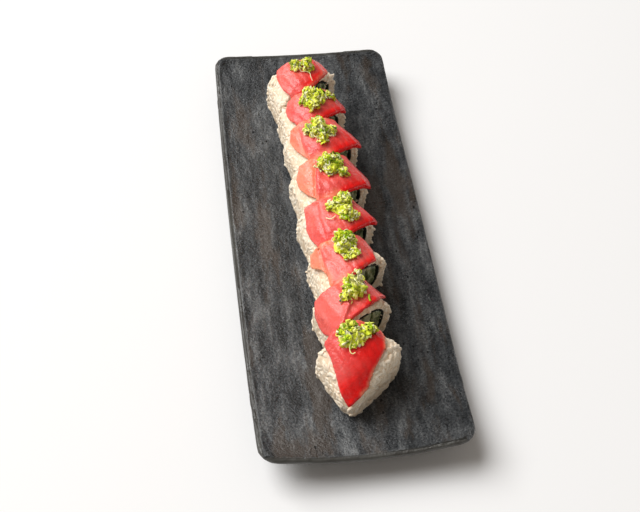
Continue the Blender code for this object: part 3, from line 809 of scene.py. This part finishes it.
def offset_from(line, x, y):
    """How far a place lies from a line seen from above, and -1 where it lies left of it, else 1."""
    nearest = math.inf
    side = 1.0
    for (ax, ay), (bx, by) in zip(line, line[1:]):
        t = ((x - ax) * (bx - ax) + (y - ay) * (by - ay)) / ((bx - ax) ** 2 + (by - ay) ** 2)
        t = min(max(t, 0.0), 1.0)
        dx, dy = x - ax - t * (bx - ax), y - ay - t * (by - ay)
        if math.hypot(dx, dy) < nearest:
            nearest = math.hypot(dx, dy)
            side = math.copysign(1.0, dx)
    return nearest, side


def fold_heights(points, normals, line, width, depth):
    """Heights of a step along a line, lower to its left, and 1 at each point that lies under it."""
    heights = np.zeros(len(points))
    under = np.zeros(len(points))
    for index, (x, y, _) in enumerate(points / MM):
        away, side = offset_from(line, x, y)
        groove = math.exp(-(away / width) ** 2)
        if side < 0:
            under[index] = 1.0 if depth > 0 else 0.0
            fade = math.exp(-(away / FOLD_REACH) ** 2)
            heights[index] = -depth * (groove * FOLD_SHARE + FOLD_SHARE * fade)
        else:
            ridge = math.exp(-((away - RIDGE_PLACE) / RIDGE_WIDTH) ** 2)
            heights[index] = depth * RIDGE_SHARE * ridge - depth * groove * GROOVE_SHARE
    return np.where(normals[:, 2] > FOLD_LEAST_Z, heights * MM, 0.0), under


def rim_points(mesh):
    """Points along the sharp outline of a strip."""
    rim = []
    faces_of = {}
    for face in mesh.polygons:
        for edge in face.edge_keys:
            faces_of.setdefault(edge, []).append(face)
    for (a, b), faces in faces_of.items():
        if len(faces) == 2 and faces[0].normal.angle(faces[1].normal) > RIM_BEND:
            start, end = mesh.vertices[a].co, mesh.vertices[b].co
            rim += [start.lerp(end, t / RIM_STEPS) for t in range(RIM_STEPS)]
    return rim


def strip_shape(length, width, thickness, spans, bend, twist):
    """A thin strip, curled by its own bend and twist."""
    bpy.ops.object.select_all(action="DESELECT")
    bpy.ops.mesh.primitive_cube_add(size=1)
    strip = bpy.context.object
    bpy.ops.object.mode_set(mode="EDIT")
    bpy.ops.mesh.select_all(action="SELECT")
    bpy.ops.transform.resize(value=(length, width, thickness))
    bpy.ops.object.mode_set(mode="OBJECT")
    for cut in range(1, spans):
        bpy.ops.object.mode_set(mode="EDIT")
        bpy.ops.mesh.select_all(action="SELECT")
        bpy.ops.mesh.bisect(plane_co=(length * (cut / spans - 0.5), 0, 0), plane_no=(1, 0, 0))
        bpy.ops.object.mode_set(mode="OBJECT")
    apply_modifier(strip, "SIMPLE_DEFORM", deform_method="TWIST", deform_axis="X",
                   angle=math.radians(twist))
    apply_modifier(strip, "SIMPLE_DEFORM", deform_method="BEND", deform_axis="Y",
                   angle=math.radians(bend))
    points = points_of(strip.data)
    move_points(strip, (points - points.mean(axis=0)) * MM)
    return template(strip)


def ring_shape(radius, height, wall, part):
    """A cut ring of the hollow leaf, whole or a part of the way round, pressed to an oval."""
    bpy.ops.object.select_all(action="DESELECT")
    bpy.ops.mesh.primitive_circle_add(vertices=12, radius=radius, location=(0, 0, -height / 2))
    ring = bpy.context.object
    bpy.ops.object.transform_apply(location=True)
    bpy.ops.object.mode_set(mode="EDIT")
    bpy.ops.mesh.select_all(action="SELECT")
    bpy.ops.mesh.extrude_region_move(TRANSFORM_OT_translate={"value": (0, 0, height)})
    if part < 1:
        bpy.ops.mesh.select_all(action="SELECT")
        bpy.ops.mesh.bisect(plane_co=(radius * (1 - 2 * part), 0, 0), plane_no=(1, 0, 0),
                            clear_outer=True)
    bpy.ops.object.mode_set(mode="OBJECT")
    apply_modifier(ring, "SOLIDIFY", thickness=wall, offset=0)
    points = points_of(ring.data)
    points[:, 0] *= RING_STRETCH
    move_points(ring, points * MM)
    return template(ring)


def scallion_shapes():
    return [strip_shape(*strip) for strip in STRIPS] + [ring_shape(*ring) for ring in RINGS]


def strand_shape(points, thickness):
    """A loose thin strand through these points."""
    curve = bpy.data.curves.new("strand", "CURVE")
    curve.dimensions = "3D"
    curve.bevel_depth = thickness * MM / 2
    curve.bevel_resolution = 1
    curve.resolution_u = 5
    curve.use_fill_caps = True
    spline = curve.splines.new("BEZIER")
    spline.bezier_points.add(len(points) - 1)
    for point, place in zip(spline.bezier_points, points):
        point.co = place
        point.handle_left_type = "AUTO"
        point.handle_right_type = "AUTO"
    strand = bpy.data.objects.new("strand", curve)
    bpy.context.scene.collection.objects.link(strand)
    select_only(strand)
    bpy.ops.object.convert(target="MESH")
    return template(bpy.context.object)


def heap_core(number, finish):
    """The heap's own mound, smaller and lumpy, under its bits."""
    node = f"scallion_{number}"
    core = node_copy(node, f"scallion_core_{number}")
    apply_modifier(core, "REMESH", mode="VOXEL", voxel_size=HEAP_VOXEL)
    points, normals = points_of(core.data), normals_of(core.data)
    lumps = unevenness(points, HEAP_LUMP_SCALE)
    foot = np.array([*points.mean(axis=0)[:2], points[:, 2].min()])
    move_points(core, foot + (points - foot) * HEAP_CORE + normals * (lumps * HEAP_LUMP)[:, None])
    add_attribute(core.data, "tone", HEAP_CORE_TONE + HEAP_CORE_TONE_SPREAD * lumps)
    smooth(core)
    finish_piece(core, finish, [node])


def drop(tree, x, y):
    """The highest point of the solids at a place seen from above; x and y are millimetres."""
    return tree.ray_cast(Vector((x * MM, y * MM, DROP_START)), Vector((0, 0, -1)))[0]


def make_scallion(number, shapes, finish):
    """A loose heap of bits in tufts over the place of its node, with its loose strands."""
    node = f"scallion_{number}"
    behind = max(number - 1, 1)
    ground = tree_of([f"tuna_{number}", f"rice_{number}", f"rice_{behind}", f"tuna_{behind}", "plate"])
    draw = random.Random(BIT_SEED + number)
    places, tones = [], []
    tufts = HEAP_TUFTS[number]
    room = sum(radius ** 2 for _, _, radius, _, _ in tufts)
    bit_count = BITS_PER_HEAP * min(1.0, room / FULL_HEAP_ROOM)
    choices = [index for index, share in enumerate(SHAPE_SHARES) for _ in range(share)]
    for x, y, radius, height, mean_tone in tufts:
        for _ in range(round(bit_count * radius ** 2 / room)):
            reach = draw.random() ** 0.5
            angle = draw.uniform(0, 2 * math.pi)
            out = radius * reach
            foot = drop(ground, x + out * math.cos(angle), y + out * math.sin(angle))
            lift = BIT_LIFT + height * (1 - reach ** 2) * draw.uniform(*BIT_HEIGHTS)
            shape = draw.choice(choices)
            turn = turned(Vector((0, 0, 1)), draw.uniform(0, 2 * math.pi),
                          draw.uniform(-BIT_TILT, BIT_TILT), draw.uniform(-BIT_ROLL, BIT_ROLL))
            matrix = (turn @ Matrix.Diagonal((draw.uniform(*BIT_SIZES),) * 3)).to_4x4()
            matrix.translation = foot + Vector((0, 0, lift)) * MM
            places.append((shape, matrix))
            tones.append(min(1.0, max(0.0, draw.gauss(mean_tone, BIT_TONE_SPREAD))))
    own_shapes = list(shapes)
    for heap, tone, thickness, points in STRANDS:
        if heap == number:
            spots = [drop(ground, x, y) + Vector((0, 0, lift * MM)) for x, y, lift in points]
            own_shapes.append(strand_shape(spots, thickness))
            places.append((len(own_shapes) - 1, Matrix.Identity(4)))
            tones.append(tone)
    pile = joined_copies(f"scallion_heap_{number}", own_shapes, places, tones)
    finish_piece(pile, finish, [node])
    if number not in HEAPS_WITHOUT_CORE:
        heap_core(number, finish)


def make_plate(finish):
    """The plate, softened, with low streaks along its top and a smooth lip."""
    piece = node_copy("plate", "stoneware_plate")
    apply_modifier(piece, "REMESH", mode="VOXEL", voxel_size=PLATE_VOXEL)
    apply_modifier(piece, "SMOOTH", iterations=3, factor=0.5)
    points, normals = points_of(piece.data), normals_of(piece.data)
    u, v = points[:, 0] / PLATE_HALF_WIDTH, points[:, 1] / PLATE_HALF_LENGTH
    inset_x = (1 - np.abs(u) / (1 + PLATE_SIDE_BOW * (1 - v ** 2))) * PLATE_HALF_WIDTH
    inset_y = (1 - np.abs(v) / (1 + PLATE_END_BOW * (1 - u ** 2))) * PLATE_HALF_LENGTH
    inset = np.minimum(inset_x, inset_y)
    lip_width = np.where(points[:, 0] > LIP_RIGHT_FROM, LIP_WIDTH_RIGHT, LIP_WIDTH)
    lip = np.clip((lip_width - inset) / LIP_FADE, 0, 1)
    waves = unevenness(points * WAVE_SCALES)
    ripple = unevenness(points * RIPPLE_SCALES + RIPPLE_SHIFT)
    on_top = np.clip(normals[:, 2], 0, 1) * (1 - lip)
    points[:, 2] += on_top * (waves * WAVE_SHARE + ripple * (1 - WAVE_SHARE)) * PLATE_RELIEF
    move_points(piece, points)
    add_attribute(piece.data, "lip", lip)
    smooth(piece)
    finish_piece(piece, finish, ["plate"])


def make_floor():
    bpy.ops.object.select_all(action="DESELECT")
    bpy.ops.mesh.primitive_plane_add(size=FLOOR_SIZE, location=(0, 0, 0))
    floor = bpy.context.object
    floor.name = "floor"
    finish = Finish("floor_paper", Base_Color=FLOOR_WHITE, Roughness=0.9)
    floor.data.materials.append(finish.material)


def make_camera():
    """The camera at its distance from its target, turned by azimuth, elevation and roll."""
    azimuth, elevation, roll = CAMERA_AZIMUTH, CAMERA_ELEVATION, CAMERA_ROLL
    ahead = Vector((math.sin(azimuth) * math.cos(elevation), math.cos(azimuth) * math.cos(elevation),
                    -math.sin(elevation)))
    right = Vector((math.cos(azimuth), -math.sin(azimuth), 0))
    up = right.cross(ahead)
    rolled_right = right * math.cos(roll) + up * math.sin(roll)
    rolled_up = up * math.cos(roll) - right * math.sin(roll)
    camera = bpy.data.objects.new("camera", bpy.data.cameras.new("camera"))
    camera.data.lens = CAMERA_LENS
    camera.data.sensor_width = CAMERA_SENSOR
    camera.data.clip_start = CAMERA_NEAR
    matrix = Matrix((rolled_right, rolled_up, -ahead)).transposed().to_4x4()
    matrix.translation = CAMERA_TARGET - ahead * CAMERA_DISTANCE
    camera.matrix_world = matrix
    bpy.context.scene.collection.objects.link(camera)
    bpy.context.scene.camera = camera


def make_window():
    """A large square light that faces the plate."""
    light = bpy.data.lights.new("window", "AREA")
    light.shape = "SQUARE"
    light.size = WINDOW_SIZE
    light.energy = WINDOW_POWER
    lamp = bpy.data.objects.new("window", light)
    lamp.location = WINDOW_PLACE
    lamp.rotation_euler = (-WINDOW_PLACE).to_track_quat("-Z", "Y").to_euler()
    bpy.context.scene.collection.objects.link(lamp)


def make_room_light():
    """The even light of the room around."""
    world = bpy.data.worlds.new("studio")
    world.use_nodes = True
    background = world.node_tree.nodes["Background"]
    background.inputs["Color"].default_value = ROOM_COLOUR
    background.inputs["Strength"].default_value = ROOM_STRENGTH
    bpy.context.scene.world = world
    bpy.context.scene.view_settings.view_transform = "Standard"


make_floor()
make_camera()
make_window()
make_room_light()
make_plate(stoneware_finish())
rice = rice_finish()
nori = nori_finish()
tuna = tuna_finish()
scallion = scallion_finish()
fillings = {"crab": crab_finish(), "avocado": avocado_finish(), "cucumber": cucumber_finish()}
grain = grain_shape()
bits = scallion_shapes()
for number in SLICES:
    make_rice(number, grain, rice)
    make_nori(number, nori)
    for kind, filling in fillings.items():
        make_filling(kind, number, filling)
    make_tuna(number, tuna)
    make_scallion(number, bits, scallion)
